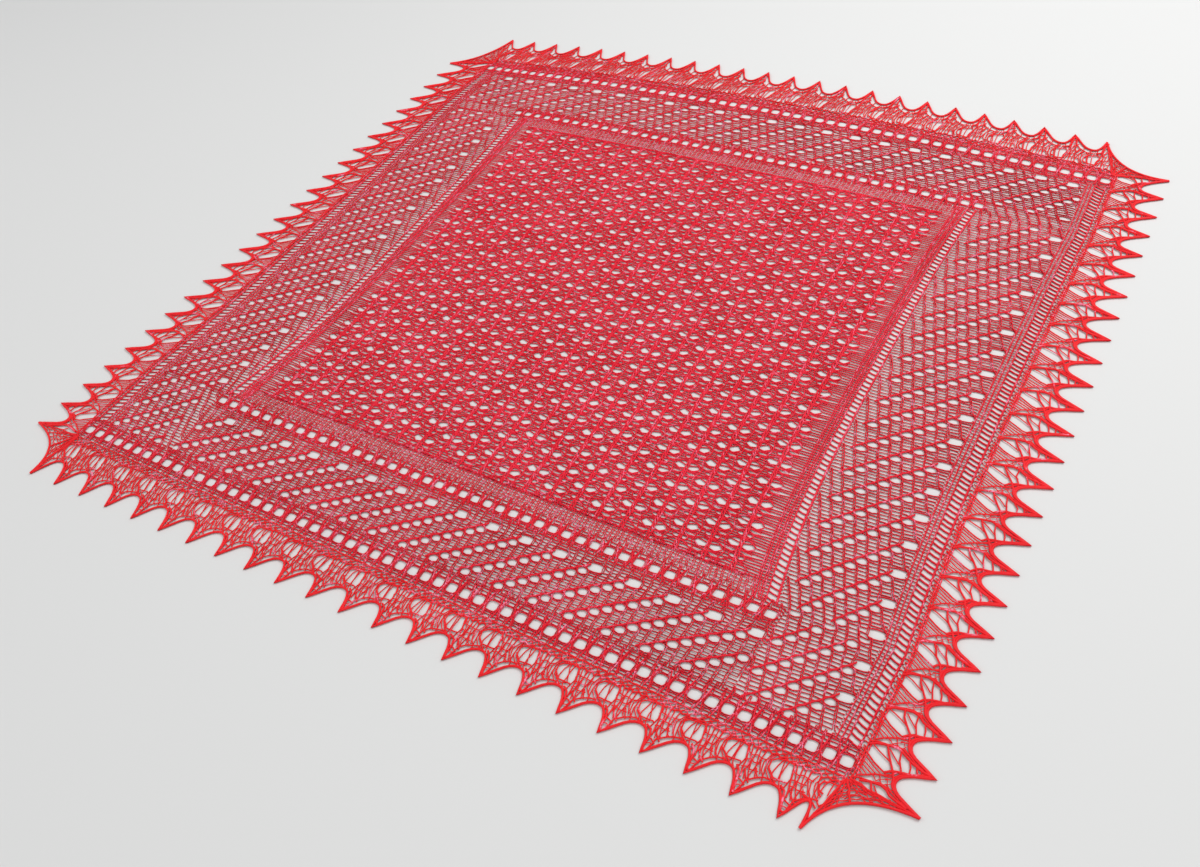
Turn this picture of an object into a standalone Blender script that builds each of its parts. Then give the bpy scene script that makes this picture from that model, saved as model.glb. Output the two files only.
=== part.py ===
"""A knitted lace shawl, blocked and laid flat: centre, four borders and four toothed edgings.

Metres, +Z up. The underside is flat at Z = 0, and the origin lies under the middle of the outline.
+Y is the way the centre's rows were knitted, and the front edging is on the -Y side.
"""

import math

import bmesh
import bpy

MM = 0.001

# Walls and gaps
LACE_WALL = 0.0012
EDGING_WALL = 0.0020
SEAM_GAP = 0.0003
STATION_STEP = 0.056

# Half widths and half heights of the centre and of the centre with its borders, on the chart
CENTRE_W = 0.391
CENTRE_H = 0.357
BORDER_W = 0.549
BORDER_H = 0.506

# How the blocked cloth departs from the straight chart
CHART_SHIFT = 0.008
LEFT_TAPER = 0.020
FRONT_FLARE = 0.025
BACK_FLARE = 0.012
FLARE_LEFT_AT_EDGE = 0.4
BACK_SHRINK = 0.030
BACK_BOW = 0.045

# Ribs raised on the centre: spines of the star lace, and the cord line beside each ladder
SPINE_PITCH = 0.0333
SPINE_COUNT = 21
SPINE_WIDTH = 0.006
SPINE_HALF_LENGTH = 0.336
LADDER_RIB_AT = 0.387
LADDER_RIB_WIDTH = 0.004
RIB_HEIGHT = 0.0006
RIB_SLOPE = 0.0015

# Eyelet rows of the front and back borders
ROW_AT = 0.490
ROW_PITCH = 0.019
ROW_COUNT = 56
ROW_HOLE = (0.0144, 0.0120)

# Large eyelets that end each diagonal chain of the borders: a line of them on each side
BORDER_OVAL = (0.016, 0.010)
OVAL_TURN = math.radians(8)
OVAL_LINES = (
    # axis that the line runs along, where the line is, first eyelet, pitch, count: front, right, back, left
    ("u", -0.397, -0.357, 0.0465, 17),
    ("v", 0.509, -0.428, 0.0403, 22),
    ("u", 0.464, -0.482, 0.0468, 22),
    ("v", -0.421, -0.340, 0.0384, 18),
)
BORDER_HOLE_SIDES = 6
EDGING_HOLE_SIDES = 8

# Edging of each side, from its first tip to its last, in the direction of +X or +Y. Bow is how far the row
# of tips bulges at its middle, and last_step is the last tooth's width against the others'. Valley is a share
# of the way out from the base to the tips, and oval_at has the shares of the way to the next tip and out.
# Oval is a size in metres and turn is in degrees.
SIDES = {
    "front": dict(first=(-0.578, -0.585), last=(0.540, -0.572), bow=-0.004, teeth=24, last_step=0.46,
                  valley=0.57, oval_at=(0.34, 0.34), oval=(0.020, 0.0145), turn=-25, out=(0, -1)),
    "right": dict(first=(0.636, -0.514), last=(0.632, 0.501), bow=0.004, teeth=25, last_step=1.0,
                  valley=0.56, oval_at=(0.73, 0.28), oval=(0.024, 0.0170), turn=-35, out=(1, 0)),
    "back": dict(first=(-0.530, 0.570), last=(0.532, 0.566), bow=0.033, teeth=24, last_step=1.0,
                 valley=0.64, oval_at=(0.45, 0.38), oval=(0.016, 0.0115), turn=20, out=(0, 1)),
    "left": dict(first=(-0.645, -0.512), last=(-0.606, 0.467), bow=-0.004, teeth=25, last_step=1.0,
                 valley=0.53, oval_at=(0.63, 0.30), oval=(0.020, 0.0130), turn=25, out=(-1, 0)),
}
TOOTH = (
    # share of the step to the next tip, height from valley (0) to tip (1)
    (0.14, 0.50),
    (0.27, 0.13),
    (0.45, 0.00),
    (0.64, 0.10),
    (0.82, 0.44),
)
CORNERS = {
    # the wide hollow between the last tips of two sides: the point that pulls its curve inwards
    ("front", "right"): (0.559, -0.514),
    ("back", "right"): (0.560, 0.496),
    ("back", "left"): (-0.548, 0.496),
    ("front", "left"): (-0.571, -0.527),
}
CORNER_STEPS = 5

YARN_COLOURS = {
    "centre": (0.78, 0.030, 0.055, 1.0),
    "border": (0.68, 0.018, 0.038, 1.0),
    "edging": (0.60, 0.010, 0.022, 1.0),
}
YARN_ROUGHNESS = 0.55


def clear_scene():
    for obj in list(bpy.data.objects):
        bpy.data.objects.remove(obj, do_unlink=True)


def yarn(name):
    """Red lace yarn, one material for each kind of piece."""
    material = bpy.data.materials.new(f"{name}_yarn")
    material.use_nodes = True
    shader = material.node_tree.nodes["Principled BSDF"]
    shader.inputs["Base Color"].default_value = YARN_COLOURS[name]
    shader.inputs["Roughness"].default_value = YARN_ROUGHNESS
    shader.inputs["Metallic"].default_value = 0.0
    material.diffuse_color = YARN_COLOURS[name]
    return material


def rise_and_fade(distance, inner, outer, power):
    """0 on the centre line, 1 at the centre's edge, and FLARE_LEFT_AT_EDGE at the border's edge."""
    if distance <= inner:
        return (distance / inner) ** power
    return 1 - (1 - FLARE_LEFT_AT_EDGE) * (distance - inner) / (outer - inner)


def laid(u, v):
    """Where a point of the straight chart lies on the blocked shawl."""
    along = v / BORDER_H
    across = u / BORDER_W
    flare = FRONT_FLARE if v < 0 else BACK_FLARE
    flare *= rise_and_fade(abs(u), CENTRE_W, BORDER_W, 2) * rise_and_fade(abs(v), CENTRE_H, BORDER_H, 3)
    x = CHART_SHIFT + u + math.copysign(flare, u)
    if u < 0:
        x += LEFT_TAPER * across**2 * (0.55 * along + 0.45 * along**3)
    y = v
    if v > 0:
        y *= 1 - BACK_SHRINK + BACK_BOW * (1 - across**2)
    return x, y


def stations(start, end):
    """Evenly spaced values from start to end, both included, so that two pieces bend alike at their seam."""
    count = max(1, round(abs(end - start) / STATION_STEP))
    return [start + (end - start) * i / count for i in range(count + 1)]


def centre_bends():
    """Stations up the centre's height, shared by the centre and the borders and edgings beside it."""
    edge = CENTRE_H - SEAM_GAP / 2
    spine_foot = SPINE_HALF_LENGTH + RIB_SLOPE
    return [-edge, -spine_foot, *stations(-SPINE_HALF_LENGTH, SPINE_HALF_LENGTH), spine_foot, edge]


def chart_rectangle(us, vs):
    """The outline of a rectangle of the chart, once laid, anticlockwise, bent at the stations given."""
    u_low, u_high = us[0], us[-1]
    v_low, v_high = vs[0], vs[-1]
    loop = [(u, v_low) for u in us[:-1]]
    loop += [(u_high, v) for v in vs[:-1]]
    loop += [(u, v_high) for u in us[:0:-1]]
    loop += [(u_low, v) for v in vs[:0:-1]]
    return [laid(u, v) for u, v in loop]


def oval(centre, size, turn, sides):
    """A flat oval as a polygon."""
    points = []
    for i in range(sides):
        angle = 2 * math.pi * (i + 0.5) / sides
        a = 0.5 * size[0] * math.cos(angle)
        b = 0.5 * size[1] * math.sin(angle)
        points.append((
            centre[0] + a * math.cos(turn) - b * math.sin(turn),
            centre[1] + a * math.sin(turn) + b * math.cos(turn),
        ))
    return points


def flat_wall(name, outline, holes, wall, material):
    """A flat wall standing on Z = 0, with its holes cut through, drawn in millimetres for a clean fill."""
    curve = bpy.data.curves.new(name, "CURVE")
    curve.dimensions = "2D"
    curve.fill_mode = "BOTH"
    curve.extrude = wall / 2 / MM
    for loop in [outline, *holes]:
        spline = curve.splines.new("POLY")
        spline.points.add(len(loop) - 1)
        spline.use_cyclic_u = True
        for point, (x, y) in zip(spline.points, loop):
            point.co = (x / MM, y / MM, 0, 1)
    curve.materials.append(material)
    obj = bpy.data.objects.new(name, curve)
    obj.scale = (MM, MM, MM)
    obj.location.z = wall / 2
    return obj


def rib_steps():
    """Chart stations across the centre, each with whether a spine or a ladder rib stands there."""
    ribs = [(SPINE_PITCH * (i - SPINE_COUNT // 2), SPINE_WIDTH, "spine") for i in range(SPINE_COUNT)]
    ribs += [(side * LADDER_RIB_AT, LADDER_RIB_WIDTH, "ladder") for side in (-1, 1)]
    edge = CENTRE_W - SEAM_GAP / 2
    steps = [(-edge, None), (edge, None)]
    for middle, width, kind in ribs:
        steps.append((middle - width / 2, None))
        steps.append((middle - width / 2 + RIB_SLOPE, kind))
        steps.append((middle + width / 2 - RIB_SLOPE, kind))
        steps.append((middle + width / 2, None))
    return sorted(steps)


def centre_panel(material):
    """The centre: a plain underside, and the spines and ladder ribs raised on its top."""
    across = rib_steps()
    along = centre_bends()

    bm = bmesh.new()
    bmesh.ops.create_grid(bm, x_segments=len(across) - 1, y_segments=len(along) - 1, size=1)
    grid = sorted(bm.verts, key=lambda vert: (round(vert.co.y, 6), round(vert.co.x, 6)))
    top_height = {}
    for index, vert in enumerate(grid):
        row, column = divmod(index, len(across))
        u, kind = across[column]
        v = along[row]
        raised = kind == "ladder" or (kind == "spine" and abs(v) <= SPINE_HALF_LENGTH)
        vert.co = (*laid(u, v), 0)
        top_height[tuple(vert.co)] = LACE_WALL + (RIB_HEIGHT if raised else 0)
    top = bmesh.ops.extrude_face_region(bm, geom=list(bm.faces), use_keep_orig=True)["geom"]
    for item in top:
        if isinstance(item, bmesh.types.BMVert):
            item.co.z = top_height[tuple(item.co)]
    underside = [face for face in bm.faces if all(vert.co.z == 0 for vert in face.verts)]
    bmesh.ops.dissolve_faces(bm, faces=underside)
    bmesh.ops.recalc_face_normals(bm, faces=bm.faces)
    mesh = bpy.data.meshes.new("centre_panel")
    bm.to_mesh(mesh)
    bm.free()
    mesh.materials.append(material)
    return bpy.data.objects.new("centre_panel", mesh)


def border_holes(us, vs):
    """The large eyelets of the border that lie inside a rectangle of the chart."""
    found = []
    for axis, at, first, pitch, count in OVAL_LINES:
        for i in range(count):
            step = first + pitch * i
            u, v = (step, at) if axis == "u" else (at, step)
            if us[0] < u < us[-1] and vs[0] < v < vs[-1]:
                found.append(oval(laid(u, v), BORDER_OVAL, OVAL_TURN, BORDER_HOLE_SIDES))
    return found


def eyelet_row(v):
    """One row of square eyelets between gathered posts."""
    first = -ROW_PITCH * (ROW_COUNT - 1) / 2
    return [oval(laid(first + ROW_PITCH * i, v), ROW_HOLE, 0, BORDER_HOLE_SIDES) for i in range(ROW_COUNT)]


def borders(material):
    """Front and back borders run the whole width, and the side borders fill in between them."""
    half = SEAM_GAP / 2
    whole_width = stations(-BORDER_W + half, BORDER_W - half)
    plans = {
        "border_front": (whole_width, stations(-BORDER_H + half, -CENTRE_H - half)),
        "border_back": (whole_width, stations(CENTRE_H + half, BORDER_H - half)),
        "border_left": (stations(-BORDER_W + half, -CENTRE_W - half), centre_bends()),
        "border_right": (stations(CENTRE_W + half, BORDER_W - half), centre_bends()),
    }
    rows = {"border_front": -ROW_AT, "border_back": ROW_AT}
    pieces = []
    for name, plan in plans.items():
        holes = border_holes(*plan)
        if name in rows:
            holes += eyelet_row(rows[name])
        pieces.append(flat_wall(name, chart_rectangle(*plan), holes, LACE_WALL, material))
    return pieces


def tip_steps(side):
    """Where each tip stands, as a share of the way from the side's first tip to its last."""
    count = side["teeth"] - 2 + side["last_step"]
    return [i / count for i in range(side["teeth"] - 1)] + [1.0]


def edging_point(side, along, outwards):
    """A point of an edging: outwards 0 is its straight base beside the border, and 1 its tips."""
    out_x, out_y = side["out"]
    if out_x:
        base = laid(out_x * (BORDER_W + SEAM_GAP / 2), BORDER_H * (2 * along - 1))
    else:
        base = laid(BORDER_W * (2 * along - 1), out_y * (BORDER_H + SEAM_GAP / 2))
    bow = side["bow"] * 4 * along * (1 - along)
    tip = [
        first + (last - first) * along + bow * out
        for first, last, out in zip(side["first"], side["last"], side["out"])
    ]
    return tuple(b + (t - b) * outwards for b, t in zip(base, tip))


def base_shares(side):
    """Where an edging's base bends with the borders beside it, as shares of the base's length."""
    half = SEAM_GAP / 2
    if side["out"][0]:
        reach = BORDER_H
        bends = stations(-BORDER_H + half, -CENTRE_H - half)[1:]
        bends += centre_bends()
        bends += stations(CENTRE_H + half, BORDER_H - half)[:-1]
    else:
        reach = BORDER_W
        bends = stations(-BORDER_W + half, BORDER_W - half)[1:-1]
    return [0.5 + 0.5 * bend / reach for bend in bends]


def toothed_edge(side):
    """Tips and the hollows between them, from the first tip to the last."""
    tips = tip_steps(side)
    rise = 1 - side["valley"]
    points = []
    for here, following in zip(tips, tips[1:]):
        step = following - here
        points.append(edging_point(side, here, 1.0))
        for share, height in TOOTH:
            points.append(edging_point(side, here + step * share, side["valley"] + rise * height))
    points.append(edging_point(side, tips[-1], 1.0))
    return points


def corner_of(first, second):
    """The curve of the hollow at a corner, from the first side's end tip to the second's."""
    pull = CORNERS[(first, second)]
    start = SIDES[first]["last" if second == "right" else "first"]
    end = SIDES[second]["last" if first == "back" else "first"]
    curve = []
    for i in range(2 * CORNER_STEPS + 1):
        t = i / (2 * CORNER_STEPS)
        curve.append(tuple(
            (1 - t) ** 2 * a + 2 * t * (1 - t) * p + t**2 * b for a, p, b in zip(start, pull, end)
        ))
    return curve


def moved_along(point, towards, distance):
    """The point moved by a distance towards another."""
    dx = towards[0] - point[0]
    dy = towards[1] - point[1]
    length = math.hypot(dx, dy)
    return point[0] + dx / length * distance, point[1] + dy / length * distance


def mitred_end(name, end):
    """One end of an edging, 0 or 1: half of the corner's hollow, from the end tip to the mitre, and its
    inner corner."""
    if name in ("front", "back"):
        half_curve = corner_of(name, ("left", "right")[end])[: CORNER_STEPS + 1]
    else:
        half_curve = corner_of(("front", "back")[end], name)[: CORNER_STEPS - 1 : -1]
    half_curve[-1] = moved_along(half_curve[-1], half_curve[-2], SEAM_GAP)
    inner = edging_point(SIDES[name], float(end), 0.0)
    inward = edging_point(SIDES[name], 1.0 - end, 0.0)
    return half_curve[1:], moved_along(inner, inward, SEAM_GAP)


def edging_holes(side):
    """The large slanted eyelet at the foot of each hollow."""
    tips = tip_steps(side)
    shortest = 0.7 * (tips[1] - tips[0])
    turn = math.radians(side["turn"])
    share, outwards = side["oval_at"]
    return [
        oval(edging_point(side, a + (b - a) * share, outwards), side["oval"], turn, EDGING_HOLE_SIDES)
        for a, b in zip(tips, tips[1:])
        if b - a > shortest
    ]


def edging(name, material):
    """One side's edging: straight base, mitred ends, and its row of thorn-like teeth."""
    side = SIDES[name]
    first_curve, first_inner = mitred_end(name, 0)
    last_curve, last_inner = mitred_end(name, 1)
    base = [edging_point(side, share, 0.0) for share in base_shares(side)]
    outline = [first_inner, *base, last_inner, *reversed(last_curve)]
    outline += reversed(toothed_edge(side))
    outline += first_curve
    return flat_wall(f"edging_{name}", outline, edging_holes(side), EDGING_WALL, material)


def outline_middle():
    """The middle of the box around the tips of all four sides."""
    xs, ys = zip(*(point for side in SIDES.values() for point in toothed_edge(side)))
    return (min(xs) + max(xs)) / 2, (min(ys) + max(ys)) / 2


def build():
    clear_scene()
    collection = bpy.data.collections.new("lace_shawl")
    bpy.context.scene.collection.children.link(collection)
    border_yarn = yarn("border")
    edging_yarn = yarn("edging")
    pieces = [centre_panel(yarn("centre")), *borders(border_yarn)]
    pieces += [edging(name, edging_yarn) for name in SIDES]
    middle_x, middle_y = outline_middle()
    for piece in pieces:
        piece.location.x -= middle_x
        piece.location.y -= middle_y
        collection.objects.link(piece)


build()
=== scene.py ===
"""The looks of a knitted lace shawl, blocked and laid flat: a red silky laceweight yarn in open stitches.

Metres, +Z up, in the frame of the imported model. The lace is charted in millimetres on a straight chart
whose rows run along u and whose wales, the columns of stitches, run along v. laid() then says where the
blocked cloth holds each point. Every strand is a run of points with a width and a gleam, and one Geometry
Nodes tree spins them all into yarn. Lengths without a unit in their comment are in millimetres, apart from
the plan, which is in metres.
"""

import math

import bpy
import numpy as np
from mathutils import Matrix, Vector


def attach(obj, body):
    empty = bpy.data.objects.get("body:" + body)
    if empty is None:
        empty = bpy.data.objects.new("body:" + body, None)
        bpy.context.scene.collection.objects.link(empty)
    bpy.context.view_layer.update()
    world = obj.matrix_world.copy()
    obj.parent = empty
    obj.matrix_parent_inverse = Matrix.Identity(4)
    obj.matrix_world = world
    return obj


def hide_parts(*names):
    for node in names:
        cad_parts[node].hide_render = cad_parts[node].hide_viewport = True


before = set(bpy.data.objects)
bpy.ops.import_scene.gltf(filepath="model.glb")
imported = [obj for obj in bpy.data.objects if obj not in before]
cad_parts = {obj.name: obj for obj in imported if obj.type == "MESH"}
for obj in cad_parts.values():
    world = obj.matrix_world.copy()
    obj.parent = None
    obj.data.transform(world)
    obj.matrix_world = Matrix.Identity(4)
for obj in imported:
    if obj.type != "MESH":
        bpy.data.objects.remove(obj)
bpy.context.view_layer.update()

MM = 0.001
rng = np.random.default_rng(7)

# The shawl's plan in metres, as the solids have it: half the width and half the depth of the centre, and of
# all within the edgings, and how blocking pulls them out of square
CENTRE_W = 0.391
CENTRE_H = 0.357
BORDER_W = 0.549
BORDER_H = 0.506
CHART_SHIFT = 0.008
LEFT_TAPER = 0.020
FRONT_FLARE = 0.025
BACK_FLARE = 0.012
FLARE_LEFT_AT_EDGE = 0.4
BACK_SHRINK = 0.030
BACK_BOW = 0.045
# The left side's taper along the way from front to back: its even share and its curved one
TAPER_EVEN = 0.55
TAPER_CURVED = 0.45

# Each side: its first and last tips, how far it bows, its teeth, how long the last step between them is
# beside the others, how far out the hollows reach, the large eyelet of each tooth, and which way is out
SIDES = {
    "front": dict(first=(-0.578, -0.585), last=(0.540, -0.572), bow=-0.004, teeth=24, last_step=0.46,
                  valley=0.57, oval_at=(0.34, 0.34), oval=(0.020, 0.0145), turn=-25, out=(0, -1)),
    "right": dict(first=(0.636, -0.514), last=(0.632, 0.501), bow=0.004, teeth=25, last_step=1.0,
                  valley=0.56, oval_at=(0.73, 0.28), oval=(0.024, 0.0170), turn=-35, out=(1, 0)),
    "back": dict(first=(-0.530, 0.570), last=(0.532, 0.566), bow=0.033, teeth=24, last_step=1.0,
                 valley=0.64, oval_at=(0.45, 0.38), oval=(0.016, 0.0115), turn=20, out=(0, 1)),
    "left": dict(first=(-0.645, -0.512), last=(-0.606, 0.467), bow=-0.004, teeth=25, last_step=1.0,
                 valley=0.53, oval_at=(0.63, 0.30), oval=(0.020, 0.0130), turn=25, out=(-1, 0)),
}
# The edge from one tip to the next: the share of the way along, and how far out it is from hollow to tip
TOOTH_SHARE = (0.0, 0.07, 0.14, 0.20, 0.27, 0.36, 0.45, 0.55, 0.64, 0.73, 0.82, 0.91, 1.0)
TOOTH_HEIGHT = (1.0, 0.74, 0.50, 0.29, 0.13, 0.04, 0.00, 0.02, 0.10, 0.25, 0.44, 0.70, 1.0)
# The point that pulls each corner's wide curve inwards
CORNERS = {
    ("front", "right"): (0.559, -0.514),
    ("back", "right"): (0.560, 0.496),
    ("back", "left"): (-0.548, 0.496),
    ("front", "left"): (-0.571, -0.527),
}

# Yarn widths in millimetres. The real laceweight is about half as thick: at its own size it would be
# finer than a pixel of the picture, so it is drawn coarser.
FINE = 1.4
YARN = 1.85
OVERLAY = 2.3
DOUBLED = 2.7
RIB = 2.3
CORD = 3.2
# Heights of a strand's middle: low in the cloth, and over other strands
BED = 0.9
OVER = 1.5
EDGE_HEIGHT = 1.3
DOUBLED_HEIGHT = 1.5
CORNER_HEIGHT = 1.4
# Between a piece's strands and its seam
SEAM_GAP = 0.3


def rise_and_fade(distance, inner, outer, power):
    """How strongly the cloth flares at a distance: it grows up to the centre's edge, then dies away."""
    rising = np.minimum(distance / inner, 1.0) ** power
    fading = 1 - (1 - FLARE_LEFT_AT_EDGE) * (distance - inner) / (outer - inner)
    return np.where(distance <= inner, rising, fading)


def laid(u, v):
    """Where points of the straight chart, in metres, lie on the blocked shawl before it is centred."""
    along = v / BORDER_H
    across = u / BORDER_W
    flare = np.where(v < 0, FRONT_FLARE, BACK_FLARE)
    flare = flare * rise_and_fade(np.abs(u), CENTRE_W, BORDER_W, 2)
    flare = flare * rise_and_fade(np.abs(v), CENTRE_H, BORDER_H, 3)
    taper = np.where(u < 0, LEFT_TAPER * across**2 * (TAPER_EVEN * along + TAPER_CURVED * along**3), 0.0)
    x = CHART_SHIFT + u + np.sign(u) * flare + taper
    y = np.where(v > 0, v * (1 - BACK_SHRINK + BACK_BOW * (1 - across**2)), v)
    return x, y


def tip_steps(side):
    """The share of the way along a side at which each tip stands."""
    count = side["teeth"] - 2 + side["last_step"]
    return [i / count for i in range(side["teeth"] - 1)] + [1.0]


def edging_place(side, along, outwards):
    """Points of an edging in metres: outwards 0 is its straight base beside the border, and 1 its tips."""
    out_x, out_y = side["out"]
    if out_x:
        base = laid(np.full_like(along, out_x * BORDER_W), BORDER_H * (2 * along - 1))
    else:
        base = laid(BORDER_W * (2 * along - 1), np.full_like(along, out_y * BORDER_H))
    bow = side["bow"] * 4 * along * (1 - along)
    place = []
    for first, last, out, start in zip(side["first"], side["last"], side["out"], base):
        tip = first + (last - first) * along + bow * out
        place.append(start + (tip - start) * outwards)
    return place


def edge_height(side, along):
    """How far out the toothed edge is, at each share of the way along a side."""
    tips = np.array(tip_steps(side))
    index = np.clip(np.searchsorted(tips, along, side="right") - 1, 0, len(tips) - 2)
    share = (along - tips[index]) / (tips[index + 1] - tips[index])
    return side["valley"] + (1 - side["valley"]) * np.interp(share, TOOTH_SHARE, TOOTH_HEIGHT)


def outline_middle():
    """The middle of the box around the tips of all four sides."""
    xs, ys = [], []
    for side in SIDES.values():
        x, y = edging_place(side, np.array(tip_steps(side)), 1.0)
        xs.extend(x)
        ys.extend(y)
    return (min(xs) + max(xs)) / 2, (min(ys) + max(ys)) / 2


MIDDLE_X, MIDDLE_Y = outline_middle()


class Skein:
    """The strands of one piece, as runs of points in metres with a width and a gleam at each point."""

    def __init__(self):
        self.runs = []
        self.widths = []
        self.gleams = []

    def add(self, x, y, z, width, gleam=0.0):
        """A strand given in metres across the plan, with its heights and its width in millimetres."""
        run = np.column_stack(np.broadcast_arrays(x - MIDDLE_X, y - MIDDLE_Y, np.asarray(z) * MM))
        self.runs.append(run)
        self.widths.append(np.full(len(run), width * MM / 2))
        self.gleams.append(np.zeros(len(run)) + gleam)

    def chart(self, points, width, eyelets=None, gleam=0.0):
        """A strand given as chart points (u, v, height), all in millimetres."""
        points = np.asarray(points, float)
        if eyelets is not None:
            points = opened(points, eyelets)
        x, y = laid(points[:, 0] * MM, points[:, 1] * MM)
        self.add(x, y, points[:, 2], width, gleam)


# An eyelet pushes strands this near out of its way, and the higher the power, the sooner the push dies away
PUSH_REACH = 20.0
PUSH_FADE = 3
# No strand counts as nearer to an eyelet's middle than this share of its size
NEAREST = 0.05


def opened(points, eyelets):
    """Strands pushed out of the eyelets, each given as (u, v, half width, half height, turn, squareness)."""
    moved = points.copy()
    if not len(eyelets):
        return moved
    low = points[:, :2].min(0) - PUSH_REACH
    high = points[:, :2].max(0) + PUSH_REACH
    near = eyelets[(eyelets[:, :2] > low).all(1) & (eyelets[:, :2] < high).all(1)]
    if not len(near):
        return moved
    dx = points[:, None, 0] - near[None, :, 0]
    dy = points[:, None, 1] - near[None, :, 1]
    c = np.cos(near[:, 4])
    s = np.sin(near[:, 4])
    p = (dx * c + dy * s) / near[:, 2]
    q = (dy * c - dx * s) / near[:, 3]
    power = near[:, 5]
    rho = np.maximum((np.abs(p) ** power + np.abs(q) ** power) ** (1 / power), NEAREST)
    grow = ((1 + rho**PUSH_FADE) ** (1 / PUSH_FADE)) / rho - 1
    grow[np.hypot(dx, dy) > PUSH_REACH] = 0
    p *= grow * near[:, 2]
    q *= grow * near[:, 3]
    moved[:, 0] += (p * c - q * s).sum(1)
    moved[:, 1] += (p * s + q * c).sum(1)
    return moved


def lit(count, share):
    """A gleam of 1 at a share of the points, picked at random, and 0 at the others."""
    return (rng.random(count) < share).astype(float)


# How far a stitch strays, how much its height varies, and the share of stitches that gleam
STITCH_JITTER = 0.3
STITCH_VARIES = 0.06
STITCHES_LIT = 0.24
# A rung gets points at these shares of its length where it is within so many half sizes of an eyelet
RUNG_SHARES = np.array([[0.25], [0.5], [0.75]])
RUNG_NEAR_WIDE = 1.6
RUNG_NEAR_TALL = 2.1


def knit(skein, wales_at, rows, edges, eyelets, loop, width, lean=0.0):
    """Knitted rows: each is one yarn that runs along u and turns up and over a loop at every wale.

    wales_at(v) gives the wales' places in a row, and edges(v) where the row starts and stops.
    loop is (half width at the foot, half width at the head, height).
    """
    foot, head, height = loop
    for v in rows:
        start, stop = edges(v)
        wales = wales_at(v)
        wales = wales[(wales > start + foot) & (wales < stop - foot)]
        if not len(wales):
            skein.chart([(start, v, BED), (stop, v, BED)], width, eyelets)
            continue
        count = len(wales)
        wales = wales + rng.normal(0, STITCH_JITTER, count)
        level = v + rng.normal(0, STITCH_JITTER, count)
        tall = height * (1 + rng.normal(0, STITCH_VARIES, count))
        top = wales - lean * tall
        stitch = np.empty((count, 4, 3))
        stitch[:, 0] = np.column_stack([wales - foot, level, np.full(count, BED)])
        stitch[:, 1] = np.column_stack([top - head, level + tall, np.full(count, OVER)])
        stitch[:, 2] = np.column_stack([top + head, level + tall, np.full(count, OVER)])
        stitch[:, 3] = np.column_stack([wales + foot, level, np.full(count, BED)])
        run = np.concatenate([[(start, v, BED)], stitch.reshape(-1, 3), [(stop, v, BED)]])
        gleam = np.zeros(len(run))
        bright = rng.random(count) < STITCHES_LIT
        gleam[1:-1].reshape(-1, 4)[bright, 1:3] = 1.0
        if eyelets is not None and len(eyelets):
            run, gleam = with_rung_points(run, gleam, eyelets)
        skein.chart(run, width, eyelets, gleam)


def with_rung_points(run, gleam, eyelets):
    """More points on the rungs near an eyelet, so that they bend round it."""
    pieces = [run[:1]]
    lights = [gleam[:1]]
    starts = run[:-1:4]
    stops = run[1::4]
    middles = (starts + stops) / 2
    gap = np.abs(middles[:, None, :2] - eyelets[None, :, :2])
    beside = gap[..., 0] < RUNG_NEAR_WIDE * eyelets[:, 2]
    above = gap[..., 1] < RUNG_NEAR_TALL * eyelets[:, 3]
    close = (beside & above).any(1)
    for i, (a, b) in enumerate(zip(starts, stops)):
        if close[i]:
            pieces.append(a + (b - a) * RUNG_SHARES)
            lights.append(np.zeros(len(RUNG_SHARES)))
        pieces.append(run[4 * i + 1: 4 * i + 5])
        lights.append(gleam[4 * i + 1: 4 * i + 5])
    return np.concatenate(pieces), np.concatenate(lights)


def even(low, high, pitch):
    """Evenly spaced places that fill a stretch, half a step in from its ends."""
    count = max(1, round((high - low) / pitch))
    return low + (high - low) * (np.arange(count) + 0.5) / count


# How far a bare rung strays, and how far its middle sags along the cloth and towards the floor
RUNG_JITTER = 0.35
RUNG_SLACK = 0.6
RUNG_DROP = 0.1


def ladder(skein, left, right, low, high, pitch, slant, width):
    """Bare rungs between two lines, a little slack."""
    for v in even(low, high, pitch):
        v = v + rng.normal(0, RUNG_JITTER)
        skein.chart([
            (left, v + slant / 2, BED),
            ((left + right) / 2, v - RUNG_SLACK, BED - RUNG_DROP),
            (right, v - slant / 2, BED),
        ], width)


# Where in its turn a twisted pair starts, how it rises and falls round its middle, and the share that gleams
TWIST_START = 0.07
TWIST_SINK = 0.1
TWIST_ROLL = 0.3
TWIST_LIT = 0.18
# How far each strand of a rib and of a thin wale sways, and the length of a full turn
RIB_SWAY = 0.75
RIB_TURN = 9.2
WALE_SWAY = 0.55
WALE_TURN = 9.0


def twisted(skein, u, low, high, width, sway, turn):
    """Two strands that wind round each other along a wale."""
    count = max(3, round((high - low) / (turn / 2)) + 1)
    v = np.linspace(low, high, count)
    for phase in (0, math.pi):
        wave = np.sin(2 * math.pi * (v / turn + TWIST_START) + phase)
        height = OVER - TWIST_SINK + TWIST_ROLL * np.cos(math.pi * v / turn + phase)
        skein.chart(np.column_stack([u + sway * wave, v, height]), width, None, lit(count, TWIST_LIT))


def rib(skein, u, low, high):
    """The thick line of tight stitches beside a ladder."""
    twisted(skein, u, low, high, RIB, RIB_SWAY, RIB_TURN)


def thin_wale(skein, u, low, high, width=FINE):
    """One column of narrow stitches."""
    twisted(skein, u, low, high, width, WALE_SWAY, WALE_TURN)


# The centre: star lace
STAR_PITCH = 33.3
STAR_COUNT = 21
STAR_REACH = 336.0
STAR_RISE = 2 * STAR_REACH / 21.5
STARS_UP = range(-1, 23)
# The first star stands this far above the foot of the star lace, and a star's middle this far above its foot
FIRST_STAR = 5.0
STAR_MIDDLE = 9.0
ROWS_A_STAR = 8
ROW_OFFSETS = (-14.0, -9.8, -5.4, 0.0, 5.4, 9.8, 14.0)
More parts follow.
